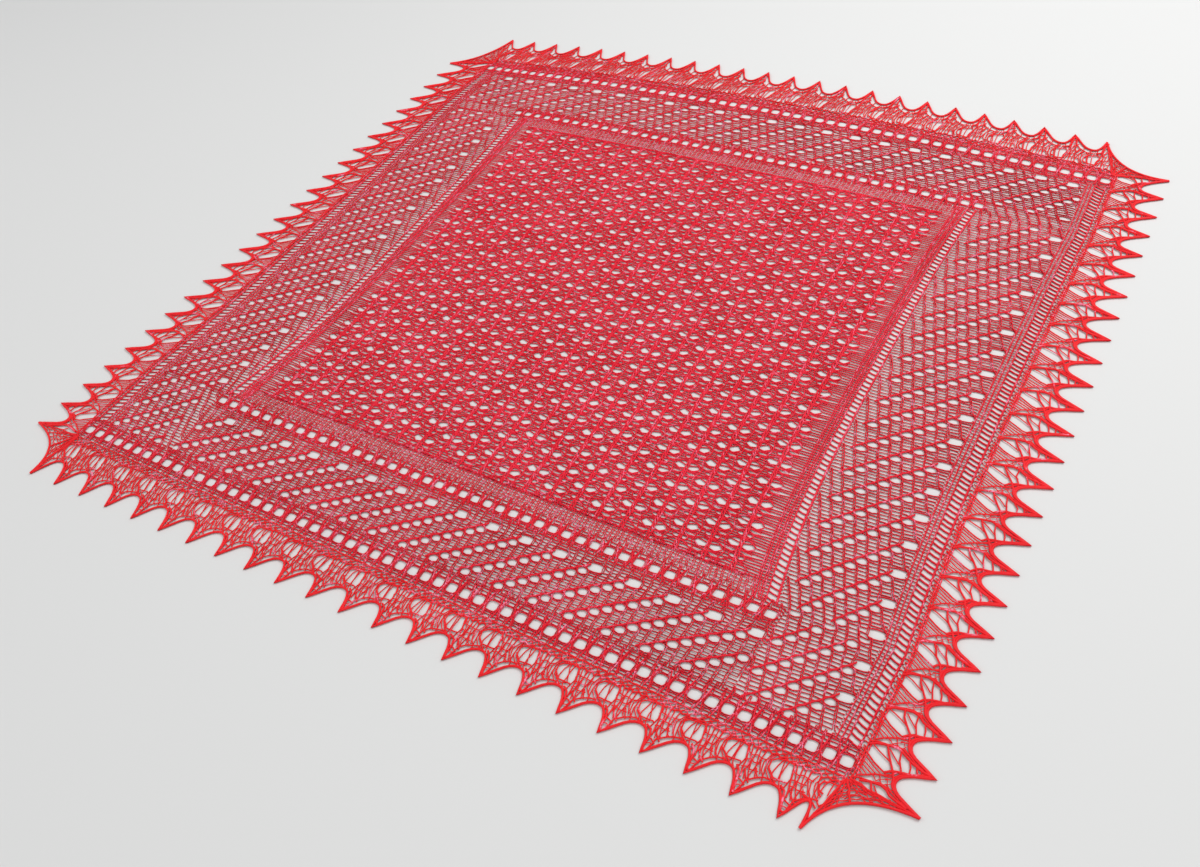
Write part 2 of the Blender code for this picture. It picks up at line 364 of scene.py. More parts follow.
# The openings of a star, as (offset from its spine, height in its rise, half width, half height): the large
# pair, the flat pair above it that a rung or two cross, and the small pair
STAR_EYELETS = ((8.8, 0.0, 6.4, 6.6), (11.0, 21.9, 5.6, 3.4), (5.6, 13.4, 2.4, 2.6))
STAR_SQUARENESS = 2.3
# Strands that run up or across half a star: (width, (offset from the spine, height) ...)
STAR_STRANDS = (
    (YARN, ((2.7, -6.5), (2.6, -1.0), (2.4, 4.0), (1.2, 8.5), (2.0, 13.0), (2.7, 24.75))),
    (YARN, ((1.0, 8.0), (7.0, 9.4), (10.0, 14.5), (6.6, 20.0), (1.0, 22.4))),
    (FINE, ((2.4, 17.5), (6.6, 17.2), (11.0, 19.0), (16.6, 17.6))),
)
# Strands that cross an opening's edge and so aren't pushed out of it: two close the large one to a point on
# the side away from the spine, and a rung crosses the flat one
STAR_CHORDS = (
    (YARN, ((0.4, 7.6), (5.0, 7.9), (11.0, 5.9), (16.6, 1.4))),
    (YARN, ((0.4, -8.4), (5.0, -7.9), (11.0, -5.5), (16.6, -1.4))),
    (FINE, ((3.4, 22.9), (11.0, 22.0), (16.6, 21.2))),
)
STAR_JITTER = 0.25
STAR_LIT = 0.1
# The slanting streaks that make a spine: half their width and height, their spacing, and how far they stray
STREAK_HALF = (2.0, 5.2)
STREAK_STEP = 5.6
STREAK_LIFT = 0.2
STREAK_JITTER = 0.75
STREAKS_LIT = 0.25
# The strand between two spines, which sways towards each star in turn
SWAY = 2.4
SWAY_POINTS = 76
SWAY_SINK = 0.2
SWAY_JITTER = 0.4
SWAY_LIT = 0.06
# The plain strips and, at the sides, the selvedge wales, the ladder, its rib and the rungs to the seam
PLAIN_ROW = 4.1
PLAIN_YARN = 1.65
PLAIN_WALES = np.arange(-55, 56) * 6.66
PLAIN_LOOP = (1.3, 1.0, 4.6)
SELVEDGE_AT = (363.5, 370.5)
SELVEDGE_PAIR = 1.2
LADDER_FROM = 376.5
LADDER_RIB = 388.0
LADDER_RUNG = 7.6
LADDER_SLANT = 3.0
SEAM_RUNG = 4.6
SEAM_RUNG_SHORT = 0.2


def star_columns():
    """Each column of stars: where its spine is, and how far its stars are dropped."""
    for column in range(STAR_COUNT):
        yield STAR_PITCH * (column - STAR_COUNT // 2), STAR_RISE / 2 * (column % 2)


def star_foot(star, drop):
    """The height of a star's foot."""
    return -STAR_REACH + STAR_RISE * star + drop + FIRST_STAR


def star_eyelets():
    """The openings of every star that lie inside the star lace."""
    found = []
    for spine, drop in star_columns():
        for star in STARS_UP:
            foot = star_foot(star, drop)
            for offset, height, wide, tall in STAR_EYELETS:
                v = foot + height
                if abs(v) < STAR_REACH - tall:
                    for flip in (-1, 1):
                        found.append((spine + flip * offset, v, wide, tall, 0.0, STAR_SQUARENESS))
    return np.array(found)


def star_rows(skein, low, high, eyelets):
    """The rows of the star lace, from selvedge to selvedge."""
    across = [-LADDER_FROM, -SELVEDGE_AT[1], -SELVEDGE_AT[0]]
    for spine, _ in star_columns():
        across += [spine + offset for offset in ROW_OFFSETS]
    across = np.array(across + [SELVEDGE_AT[0], SELVEDGE_AT[1], LADDER_FROM])
    for v in even(low, high, STAR_RISE / ROWS_A_STAR):
        points = np.column_stack([across, np.full(len(across), v), np.full(len(across), BED)])
        points[:, :2] += rng.normal(0, STAR_JITTER, (len(points), 2))
        skein.chart(points, YARN, eyelets)


def star_strands(skein, low, high, eyelets):
    """The spines, and the strands that fan out from them round the openings."""
    strands = [(width, strand, eyelets) for width, strand in STAR_STRANDS]
    strands += [(width, strand, None) for width, strand in STAR_CHORDS]
    bottom = max(low, -STAR_REACH)
    top = min(high, STAR_REACH)
    for spine, drop in star_columns():
        for star in STARS_UP:
            foot = star_foot(star, drop)
            if not low <= foot + STAR_MIDDLE < high:
                continue
            for width, strand, holes in strands:
                for flip in (-1, 1):
                    points = np.array([(spine + flip * a, foot + b, OVER) for a, b in strand])
                    points[:, :2] += rng.normal(0, STAR_JITTER, (len(points), 2))
                    points[:, 1] = np.clip(points[:, 1], -STAR_REACH, STAR_REACH)
                    skein.chart(points, width, holes, lit(len(points), STAR_LIT))
        spine_streaks(skein, spine, bottom, top)
        if spine < STAR_PITCH * (STAR_COUNT // 2):
            swaying_strand(skein, spine + STAR_PITCH / 2, drop, bottom, top)


def spine_streaks(skein, spine, bottom, top):
    """A spine: short slanting strands, one above the other."""
    wide, tall = STREAK_HALF
    for v in even(bottom, top, STREAK_STEP):
        streak = np.array([(spine - wide, v + tall, OVER), (spine, v, OVER + STREAK_LIFT),
                           (spine + wide, v - tall, OVER)])
        streak[:, :2] += rng.normal(0, STREAK_JITTER, (3, 2))
        streak[:, 1] = np.clip(streak[:, 1], bottom, top)
        skein.chart(streak, YARN, None, [0.0, float(rng.random() < STREAKS_LIT), 0.0])


def swaying_strand(skein, u, drop, bottom, top):
    """The strand midway between two spines."""
    v = np.linspace(bottom, top, SWAY_POINTS)
    sway = SWAY * np.cos(2 * math.pi * (v + STAR_REACH - drop - FIRST_STAR) / STAR_RISE)
    points = np.column_stack([u + sway, v, np.full(SWAY_POINTS, OVER - SWAY_SINK)])
    points[:, 0] += rng.normal(0, SWAY_JITTER, SWAY_POINTS)
    skein.chart(points, YARN, None, lit(SWAY_POINTS, SWAY_LIT))


def centre_half(skein, low, high):
    """Half of the centre: star lace, the plain strips round it, and the ladders at its sides."""
    edge = CENTRE_H / MM - SEAM_GAP
    eyelets = star_eyelets()
    star_rows(skein, max(low, -STAR_REACH), min(high, STAR_REACH), eyelets)
    star_strands(skein, low, high, eyelets)
    for strip in ((-edge, -STAR_REACH), (STAR_REACH, edge)):
        if low <= strip[0] < high:
            knit(skein, lambda v: PLAIN_WALES, even(*strip, PLAIN_ROW),
                 lambda v: (-LADDER_FROM, LADDER_FROM), None, PLAIN_LOOP, PLAIN_YARN)
    bottom = max(low, -edge)
    top = min(high, edge)
    for side in (-1, 1):
        for at in SELVEDGE_AT:
            thin_wale(skein, side * (at - SELVEDGE_PAIR), bottom, top)
            thin_wale(skein, side * (at + SELVEDGE_PAIR), bottom, top)
        thin_wale(skein, side * LADDER_FROM, bottom, top, YARN)
        ladder(skein, side * LADDER_FROM, side * LADDER_RIB, bottom, top, LADDER_RUNG, LADDER_SLANT, OVERLAY)
        rib(skein, side * LADDER_RIB, bottom, top)
        ladder(skein, side * LADDER_RIB, side * (CENTRE_W / MM - SEAM_RUNG_SHORT), bottom, top, SEAM_RUNG,
               0.0, FINE)


# The borders: diagonal chains of eyelets, each ending in a large oval. An eyelet is (half width,
# half height, turn, squareness)
OVAL = (11.2, 6.2, math.radians(6), 2.4)
CHAIN_EYELET = (6.3, 5.1, math.radians(10), 2.0)
ROW_EYELET = (8.4, 6.6, 0.0, 3.0)
FLAT_EYELET = (7.0, 1.9, 0.0, 3.0)
INNER_EYELET = (8.0, 5.8, 0.0, 3.0)
OUTER_ROW_AT = 490.0
OUTER_ROW_PITCH = 19.0
OUTER_ROW_COUNT = 58
OUTER_ROW_FROM = 474.0
INNER_ROW_AT = 370.0
INNER_ROW_PITCH = 18.5
INNER_ROW_COUNT = 43
INNER_ROW_TO = 382.0
CORNER_FROM = 400.0
KNIT_TO = 518.0
NARROW_WALES = (521.0, 526.3, 531.6)
LADDER_OUT = 533.0
OUTER_RIB = 546.0
# The rungs of the outer ladders: (spacing, slant)
CLOSE_RUNGS = (4.5, 1.5)
BOLD_RUNGS = (7.3, 4.6)
LEVEL_RUNGS = (7.3, 0.0)
# A border stitch: half its width at the foot and at the head, and its height in rows
LOOP_FOOT = 1.5
LOOP_HEAD = 1.25
LOOP_ROWS = 1.2
# The posts of an eyelet row: half the gap of their two wales, their rows and stitches, how far above an
# eyelet its flat one lies, and how far the last post keeps from the end
POST_PAIR = 4.2
POST_ROW = 4.4
POST_LOOP = (1.4, 1.1, 5.6)
FLAT_ABOVE = 3.4
POST_CLEAR = 4.0
# The two strands that gather a post, from its foot to its head: (shift, spread, lift), how far their ends
# keep from the strip's edges, and how far from the eyelets' line the tie is
GATHER = ((1.2, 3.4, 0.0), (0.3, 0.8, 0.2), (-0.3, -0.8, 0.2), (-1.2, -3.4, 0.0))
GATHER_CLEAR = 1.5
TIE_REACH = 4.0
GATHER_LIT = 0.12
# The pair of strands over a chain: where they cross above an eyelet, and how they bow and part between two
CHAIN_CROSSING = (-0.4, 0.5)
CHAIN_BOW = (-0.7, 0.8)
CHAIN_PART = 0.5
CHAIN_TWIST = 0.6
CHAIN_LIFT = 0.15
CHAIN_LIT = 0.15
# How far to each side wales are counted
WALES_REACH = 560

# Each lattice of chains: the line of ovals it ends on, and its wales and rows
LATTICES = {
    "front": dict(oval=(-357.0, -397.0), step=(46.5, 0.0), count=17, length=9, wale=46.5 / 4, row=4.2,
                  lean=0.098),
    "right": dict(oval=(509.0, -428.0), step=(0.0, 40.3), count=22, length=10, wale=14.27, row=40.3 / 8,
                  lean=14.27 / 40.3),
    "back": dict(oval=(-482.0, 464.0), step=(46.8, 0.0), count=22, length=9, wale=46.8 / 3, row=4.95,
                 lean=0.485),
    "left": dict(oval=(-421.0, -340.0), step=(0.0, 38.4), count=18, length=10, wale=14.0, row=38.4 / 8,
                 lean=14.0 / 38.4),
}


def chain_step(lattice):
    """From one eyelet of a chain to the next: one wale over and two rows up."""
    rise = 2 * lattice["row"]
    return np.array([lattice["wale"] - lattice["lean"] * rise, rise])


def chains(lattice, extra=(0, 0)):
    """Each chain: its oval, its small eyelets down to the left, and whether the oval is there.

    extra adds chains without an oval before the first and after the last.
    """
    step = chain_step(lattice)
    found = []
    for i in range(-extra[0], lattice["count"] + extra[1]):
        oval = np.array(lattice["oval"]) + i * np.array(lattice["step"])
        small = [oval - k * step for k in range(1, lattice["length"])]
        found.append((oval, small, 0 <= i < lattice["count"]))
    return found


def inside(point, box):
    """Whether a point lies in a box (low u, high u, low v, high v)."""
    return box[0] < point[0] < box[1] and box[2] < point[1] < box[3]


def chain_eyelets(lattice, box, extra=(0, 0)):
    """The ovals and small eyelets of a lattice that lie in a box."""
    found = []
    for oval, small, has_oval in chains(lattice, extra):
        if has_oval and inside(oval, box):
            found.append((*oval, *OVAL))
        found += [(*point, *CHAIN_EYELET) for point in small if inside(point, box)]
    return np.array(found).reshape(-1, 6)


def chain_strands(skein, lattice, box, extra=(0, 0)):
    """The slanting line of decreases that runs over the top of each chain's eyelets."""
    step = chain_step(lattice)
    for oval, small, _ in chains(lattice, extra):
        crossing = (CHAIN_CROSSING[0], CHAIN_EYELET[1] + CHAIN_CROSSING[1])
        nodes = [point + crossing for point in [*small[::-1], oval]]
        nodes = [nodes[0] - step, *nodes]
        for flip in (-1, 1):
            run = []
            gleam = []
            for a, b in zip(nodes, nodes[1:]):
                if inside(b, box) and inside(a, box):
                    middle = a + (b - a) * 0.5 + (CHAIN_BOW[0], CHAIN_BOW[1] + CHAIN_PART * flip)
                    run.append((a[0], a[1] - CHAIN_TWIST * flip, OVER + CHAIN_LIFT))
                    run.append((*middle, OVER))
                    gleam += [float(rng.random() < CHAIN_LIT), 0.0]
            if len(run) > 2:
                skein.chart(run, OVERLAY, None, np.array(gleam))


def lattice_wales(lattice):
    """Where a lattice's wales cross each height: its eyelets lie midway between two of them."""
    u, v = lattice["oval"]

    def wales_at(height):
        first = u + 0.5 * lattice["wale"] - lattice["lean"] * (height - v)
        low = math.floor((-WALES_REACH - first) / lattice["wale"])
        high = math.ceil((WALES_REACH - first) / lattice["wale"])
        return first + lattice["wale"] * np.arange(low, high)

    return wales_at


def lattice_rows(lattice, low, high):
    """A lattice's rows between two heights: its eyelets lie midway between two of them.

    Where a wide gap would be left at a seam, one more row closes it.
    """
    row = lattice["row"]
    clear = 0.2
    wide_gap = 0.6 * row
    beside_seam = 0.9
    first = lattice["oval"][1] + row / 2
    start = math.ceil((low - first) / row + clear)
    stop = math.floor((high - first) / row - clear)
    rows = first + row * np.arange(start, stop + 1)
    if rows[0] - low > wide_gap:
        rows = np.concatenate([[low + beside_seam], rows])
    if high - rows[-1] > wide_gap:
        rows = np.concatenate([rows, [high - beside_seam]])
    return rows


def knitted_block(skein, lattice, box, eyelets, extra=(0, 0)):
    """A block of border lace between two heights, with its chains."""
    low_u, high_u, low_v, high_v = box
    loop = (LOOP_FOOT, LOOP_HEAD, LOOP_ROWS * lattice["row"])
    knit(skein, lattice_wales(lattice), lattice_rows(lattice, low_v, high_v), lambda v: (low_u, high_u),
         eyelets, loop, YARN, lattice["lean"])
    chain_strands(skein, lattice, box, extra)


def post_row(skein, at, inwards, pitch, count, eyelet, low, high, reach):
    """A straight row of square eyelets between gathered posts of two wales, with a flat one above each."""
    first = -pitch * (count - 1) / 2
    places = first + pitch * np.arange(count)
    holes = [(u, at, *eyelet) for u in places]
    holes += [(u, at + inwards * (eyelet[1] + FLAT_ABOVE), *FLAT_EYELET) for u in places]
    posts = first + pitch * (np.arange(-3, count + 4) - 0.5)
    wales = np.sort(np.concatenate([posts - POST_PAIR, posts + POST_PAIR]))
    lowest = math.ceil((low - at) / POST_ROW - 0.5)
    highest = math.floor((high - at) / POST_ROW - 0.5)
    rows = at + POST_ROW * (np.arange(lowest, highest + 1) + 0.5)
    knit(skein, lambda v: wales, rows, lambda v: (-reach, reach), np.array(holes), POST_LOOP, YARN)
    heights = (low + GATHER_CLEAR, at - TIE_REACH, at + TIE_REACH, high - GATHER_CLEAR)
    for post in posts:
        if abs(post) < min(places[-1] + pitch, reach - POST_CLEAR):
            for flip in (-1, 1):
                run = [(post + shift + spread * flip, height, OVER + lift)
                       for (shift, spread, lift), height in zip(GATHER, heights)]
                skein.chart(run, YARN, None, lit(len(run), GATHER_LIT))


def outer_ladders(skein, low, high, sides=(-1, 1)):
    """The narrow wales, the ladder and the thick rib along the outside of the borders."""
    for side in sides:
        for at in NARROW_WALES:
            thin_wale(skein, side * at, low, high, YARN)
        ladder(skein, side * KNIT_TO, side * LADDER_OUT, low, high, *CLOSE_RUNGS, FINE)
        ladder(skein, side * LADDER_OUT, side * OUTER_RIB, low, high, *BOLD_RUNGS, DOUBLED)
        rib(skein, side * OUTER_RIB, low, high)
        ladder(skein, side * OUTER_RIB, side * (BORDER_W / MM), low, high, *LEVEL_RUNGS, YARN)


def border_end(skein, name):
    """The front or back border, over the whole width. The front's corners carry on the side lattices."""
    sign = -1 if name == "front" else 1
    edge = BORDER_H / MM - SEAM_GAP
    seam = CENTRE_H / MM + SEAM_GAP
    lattice = LATTICES[name]
    outer = sorted((sign * OUTER_ROW_FROM, sign * edge))
    inner = sorted((sign * seam, sign * INNER_ROW_TO))
    middle = sorted((sign * INNER_ROW_TO, sign * OUTER_ROW_FROM))
    if name == "front":
        blocks = [
            (LATTICES["left"], (-KNIT_TO, -CORNER_FROM, middle[0], inner[1]), (4, 0)),
            (lattice, (-CORNER_FROM, CORNER_FROM, *middle), (1, 1)),
            (LATTICES["right"], (CORNER_FROM, KNIT_TO, middle[0], inner[1]), (3, 0)),
        ]
    else:
        blocks = [(lattice, (-KNIT_TO, KNIT_TO, *middle), (0, 2))]
    for part, box, extra in blocks:
        knitted_block(skein, part, box, chain_eyelets(part, box, extra), extra)
    post_row(skein, sign * OUTER_ROW_AT, -sign, OUTER_ROW_PITCH, OUTER_ROW_COUNT, ROW_EYELET, *outer,
             BORDER_W / MM)
    post_row(skein, sign * INNER_ROW_AT, -sign, INNER_ROW_PITCH, INNER_ROW_COUNT, INNER_EYELET, *inner,
             CORNER_FROM)
    if name == "back":
        for side in (-1, 1):
            ends = sorted((side * CORNER_FROM, side * KNIT_TO))
            knitted_block(skein, lattice, (*ends, *inner), np.zeros((0, 6)))
    outer_ladders(skein, *sorted((sign * OUTER_ROW_FROM, sign * seam)))


def border_side(skein, name):
    """The left or right border, between the front and the back one."""
    sign = -1 if name == "left" else 1
    seam = CENTRE_W / MM
    reach = CENTRE_H / MM - SEAM_GAP
    box = (*sorted((sign * seam, sign * KNIT_TO)), -reach, reach)
    lattice = LATTICES[name]
    extra = (4, 4)
    knitted_block(skein, lattice, box, chain_eyelets(lattice, box, extra), extra)
    outer_ladders(skein, -reach, reach, (sign,))


# The edgings: open nets in the teeth, thick arches from tooth to tooth, and a doubled cord along the edge.
# One tooth of the sides, and one of the front and back, charted: each strand is (width, points), and
# each point is (share of the way to the next tip, share of the way out from the base).
SIDE_TOOTH = (
    (DOUBLED, ((-0.01, 0.06), (0.10, 0.14), (0.18, 0.28), (0.24, 0.40), (0.21, 0.49), (0.12, 0.58),
               (0.06, 0.68), (0.02, 0.80), (-0.01, 0.92))),
    (YARN, ((0.07, 0.03), (0.14, 0.14), (0.20, 0.26), (0.27, 0.37), (0.25, 0.49), (0.18, 0.59),
            (0.10, 0.69), (0.04, 0.81))),
    (DOUBLED, ((-0.46, 0.39), (-0.36, 0.45), (-0.28, 0.52), (-0.24, 0.62), (-0.18, 0.72),
               (-0.10, 0.81), (-0.03, 0.92))),
    (OVERLAY, ((0.19, 0.28), (0.00, 0.33), (-0.15, 0.39), (-0.32, 0.46), (-0.46, 0.49), (-0.59, 0.54),
               (-0.73, 0.61))),
    (YARN, ((0.20, 0.48), (-0.03, 0.50), (-0.24, 0.55), (-0.40, 0.58), (-0.53, 0.61))),
    (YARN, ((0.09, 0.61), (-0.05, 0.65), (-0.23, 0.67))),
    (YARN, ((0.05, 0.72), (-0.05, 0.75), (-0.13, 0.76))),
    (FINE, ((0.05, 0.08), (-0.02, 0.20), (-0.09, 0.30), (-0.16, 0.38))),
    (FINE, ((0.14, 0.32), (0.03, 0.40), (-0.11, 0.51))),
    (YARN, ((-0.15, 0.01), (-0.24, 0.10), (-0.34, 0.20), (-0.42, 0.30), (-0.46, 0.40))),
    (FINE, ((-0.26, 0.01), (-0.34, 0.11), (-0.44, 0.23), (-0.52, 0.34), (-0.51, 0.42))),
    (FINE, ((-0.36, 0.01), (-0.43, 0.11), (-0.53, 0.23), (-0.59, 0.31))),
    (FINE, ((-0.46, 0.01), (-0.53, 0.11), (-0.62, 0.22), (-0.65, 0.27))),
    (FINE, ((-0.57, 0.01), (-0.62, 0.11), (-0.70, 0.20))),
    (FINE, ((-0.67, 0.01), (-0.71, 0.11), (-0.77, 0.16))),
    (YARN, ((-0.84, 0.10), (-0.70, 0.20), (-0.61, 0.28), (-0.53, 0.39), (-0.42, 0.47), (-0.30, 0.53))),
    (FINE, ((-0.55, 0.34), (-0.65, 0.39), (-0.56, 0.44), (-0.67, 0.48), (-0.57, 0.53), (-0.69, 0.56),
            (-0.61, 0.61), (-0.73, 0.65))),
    (FINE, ((-0.63, 0.26), (-0.73, 0.32), (-0.65, 0.37), (-0.75, 0.42), (-0.68, 0.48), (-0.77, 0.54),
            (-0.71, 0.60), (-0.81, 0.68))),
    (FINE, ((-0.52, 0.40), (-0.49, 0.46), (-0.42, 0.52), (-0.40, 0.58))),
    (FINE, ((-0.59, 0.42), (-0.53, 0.51), (-0.54, 0.58), (-0.63, 0.63))),
    (FINE, ((0.01, 0.78), (-0.08, 0.81), (-0.01, 0.84), (-0.05, 0.88))),
    (FINE, ((0.42, 0.59), (0.26, 0.66), (0.12, 0.75), (0.03, 0.87))),
)
END_TOOTH = (
    (DOUBLED, ((-0.44, 0.51), (-0.26, 0.59), (-0.15, 0.72), (-0.05, 0.88), (0.02, 0.95))),
    (YARN, ((0.03, 0.91), (0.02, 0.78), (0.00, 0.68), (0.09, 0.59), (0.21, 0.53), (0.36, 0.50))),
    (FINE, ((-0.11, 0.84), (-0.02, 0.79), (0.05, 0.83))),
    (YARN, ((-0.21, 0.71), (-0.08, 0.72), (0.05, 0.76))),
    (YARN, ((-0.17, 0.56), (-0.05, 0.64), (0.08, 0.71))),
    (FINE, ((-0.03, 0.44), (0.05, 0.53), (0.15, 0.59))),
    (YARN, ((0.17, 0.17), (0.15, 0.27), (0.23, 0.37), (0.34, 0.44), (0.50, 0.55))),
    (FINE, ((0.09, 0.16), (0.07, 0.27), (0.15, 0.39), (0.29, 0.48), (0.41, 0.55))),
    (FINE, ((0.01, 0.16), (0.00, 0.30), (0.09, 0.44), (0.23, 0.55))),
    (YARN, ((0.44, 0.14), (0.52, 0.25), (0.60, 0.37), (0.74, 0.52), (0.85, 0.66))),
    (FINE, ((0.52, 0.11), (0.62, 0.26), (0.72, 0.39), (0.83, 0.54), (0.95, 0.68))),
    (FINE, ((0.62, 0.11), (0.72, 0.26), (0.80, 0.40), (0.91, 0.55), (1.03, 0.66))),
    (FINE, ((0.72, 0.11), (0.81, 0.27), (0.90, 0.40), (1.01, 0.51), (1.09, 0.59))),
    (FINE, ((0.83, 0.13), (0.91, 0.27), (0.99, 0.37), (1.13, 0.51))),
    (FINE, ((0.56, 0.26), (0.68, 0.27), (0.78, 0.25), (0.91, 0.28), (1.03, 0.26))),
    (FINE, ((0.60, 0.37), (0.71, 0.36), (0.83, 0.39), (0.97, 0.37))),
    (FINE, ((0.66, 0.48), (0.77, 0.47), (0.89, 0.50), (1.05, 0.49))),
    (YARN, ((0.19, 0.34), (0.34, 0.40), (0.50, 0.41), (0.60, 0.44))),
    (YARN, ((0.17, 0.21), (0.29, 0.17), (0.46, 0.17), (0.54, 0.22), (0.54, 0.32))),
)
# The light strands that cross each large eyelet of the front and back
END_ACROSS = (
    ((0.24, 0.13), (0.24, 0.26), (0.27, 0.39), (0.33, 0.50), (0.42, 0.56)),
    ((0.35, 0.13), (0.38, 0.26), (0.43, 0.38), (0.50, 0.49), (0.58, 0.58)),
)


# How far inside the toothed edge its cord, its second line and the strands of a tooth keep, as shares of the
# way out, and how finely the edge is drawn from tip to tip
CORD_INSET = 0.012
DOUBLED_INSET = 0.045
TOOTH_INSET = 0.03
NET_INSET = 0.02
EDGE_SHARES = np.linspace(0, 1, 15)
# Half an eyelet in the yarn, as a share of the whole opening in the solid: over a half, because the strands'
# own thickness narrows it
EYELET_SHARE = 0.58
TOOTH_JITTER = 0.008
TOOTH_LIT = 0.06
BOLD_LIFT = 0.3
# The fine net under a front or back tooth: its strands, their points, where they start and how far they lean
NET_STRANDS = 5
NET_POINTS = 6
NET_START = 0.10
NET_LEAN = 0.26
NET_JITTER = 0.006
NET_LIFT = 0.2
# The bands at an edging's base: the step of their zigzag, then (middle, swing, width) on the front and back,
# and the middles and the swing on the sides. Middles and swings are shares of the way out
BAND_STEP = 4.6
BAND_HEIGHT = 1.2
END_BANDS = ((0.005, 0.012, YARN), (0.05, 0.035, YARN), (0.085, -0.035, YARN), (0.125, 0.02, OVERLAY))
END_BAND_JITTER = 0.006
END_BAND_LIT = 0.2
SIDE_BANDS = (0.05, 0.085)
SIDE_BAND_SWING = 0.005
SIDE_BAND_LIT = 0.25
RUNG_LEAN = 0.002
# The corners: the points of the curve, the ones that carry a ray, a ray's points as shares of the way out,
# and the shares of the seven waves. The jitters are in metres
CURVE_POINTS = 9
CURVE_INSET = 0.985
RAYS = (0, 2, 3, 5, 6, 8)
BOLD_RAYS = (0, 8)
RAY_SHARES = np.linspace(0.03, 0.95, 8)[:, None]
RAY_JITTER = 0.0009
WAVES = (0.17, 0.28, 0.39, 0.50, 0.61, 0.72, 0.84)
WAVE_SWING = 0.03
WAVE_LIFT = 0.3
WAVE_JITTER = 0.0007


def edging_run(skein, side, along, outwards, width, z, gleam=0.0, eyelets=None):
    """A strand of an edging, given as shares of the way along it and of the way out."""
    x, y = edging_place(side, np.clip(np.asarray(along, float), 0, 1), np.asarray(outwards, float))
    if eyelets is not None:
        points = opened(np.column_stack([x, y]) / MM, eyelets)
        x, y = points.T * MM
    skein.add(x, y, z, width, gleam)


def edging_eyelets(side):
    """The large eyelets of an edging, one between each two tips, in millimetres."""
    tips = tip_steps(side)
    shortest = 0.7 * (tips[1] - tips[0])
    share, outwards = side["oval_at"]
    along = np.array([a + (b - a) * share for a, b in zip(tips, tips[1:]) if b - a > shortest])
    x, y = edging_place(side, along, outwards)
    half = np.array(side["oval"]) * EYELET_SHARE
    turn = math.radians(side["turn"])
    return np.array([(a / MM, b / MM, half[0] / MM, half[1] / MM, turn, 2.0) for a, b in zip(x, y)])


def edging(skein, name):
    """One side's toothed edging: the cord along its edge, its teeth, the band at its base, its corners."""
    side = SIDES[name]
    tips = tip_steps(side)
    step = tips[1] - tips[0]
    end = name in ("front", "back")
    along = np.concatenate([a + (b - a) * EDGE_SHARES[:-1] for a, b in zip(tips, tips[1:])] + [[1.0]])
    edge = edge_height(side, along)
    edging_run(skein, side, along, edge - CORD_INSET, CORD, EDGE_HEIGHT)
    if not end:
        edging_run(skein, side, along, edge - DOUBLED_INSET, DOUBLED, DOUBLED_HEIGHT)
    holes = edging_eyelets(side) if end else None
    for tip in tips:
        for width, strand in END_TOOTH if end else SIDE_TOOTH:
            tooth_strand(skein, side, tip, step, strand, width, holes)
        if end:
            for strand in END_ACROSS:
                tooth_strand(skein, side, tip, step, strand, FINE, None)
            leaning_net(skein, side, tip, step, holes)
    edging_band(skein, side, end)
    for finish in (0, 1):
        corner_net(skein, name, finish)


def tooth_strand(skein, side, tip, step, strand, width, holes):
    """One charted strand of a tooth, where it lies between the side's first and last tips."""
    shares = np.array(strand)
    shares = shares + rng.normal(0, TOOTH_JITTER, shares.shape)
    places = tip + step * shares[:, 0]
    kept = (places >= 0) & (places <= 1)
    if kept.sum() < 2:
        return
    places = places[kept]
    outwards = np.minimum(shares[kept, 1], edge_height(side, places) - TOOTH_INSET)
    z = OVER + (BOLD_LIFT if width > YARN else 0.0)
    edging_run(skein, side, places, outwards, width, z, lit(len(places), TOOTH_LIT), holes)


def leaning_net(skein, side, tip, step, holes):
    """The fine strands that lean across the front and back edgings, under the bold ones."""
    rise = np.linspace(0.1, 1.0, NET_POINTS)
    for k in range(NET_STRANDS):
        stray = rng.normal(0, NET_JITTER, NET_POINTS)
        along = tip + step * ((k + 0.5) / NET_STRANDS - NET_START + NET_LEAN * rise + stray)
        if along[-1] < 1:
            outwards = rise * (edge_height(side, along) - NET_INSET)
            edging_run(skein, side, along, outwards, FINE, BED + NET_LIFT, 0.0, holes)


def edging_band(skein, side, end):
    """The narrow knitted band at an edging's base."""
    length = 2 * (BORDER_W if end else BORDER_H) / MM
    count = round(length / BAND_STEP) + 1
    along = np.linspace(0, 1, count)
    wave = np.where(np.arange(count) % 2, 1.0, -1.0)
    if end:
        for middle, swing, width in END_BANDS:
            outwards = np.maximum(middle + swing * wave + rng.normal(0, END_BAND_JITTER, count), 0.0)
            edging_run(skein, side, along, outwards, width, BAND_HEIGHT, lit(count, END_BAND_LIT))
    else:
        for middle in SIDE_BANDS:
            for flip in (-1, 1):
                outwards = middle + SIDE_BAND_SWING * flip * wave
                edging_run(skein, side, along, outwards, FINE, BAND_HEIGHT, lit(count, SIDE_BAND_LIT))
        for place in along[:-1]:
            edging_run(skein, side, [place + RUNG_LEAN, place], [0.0, SIDE_BANDS[1]], FINE, BED)


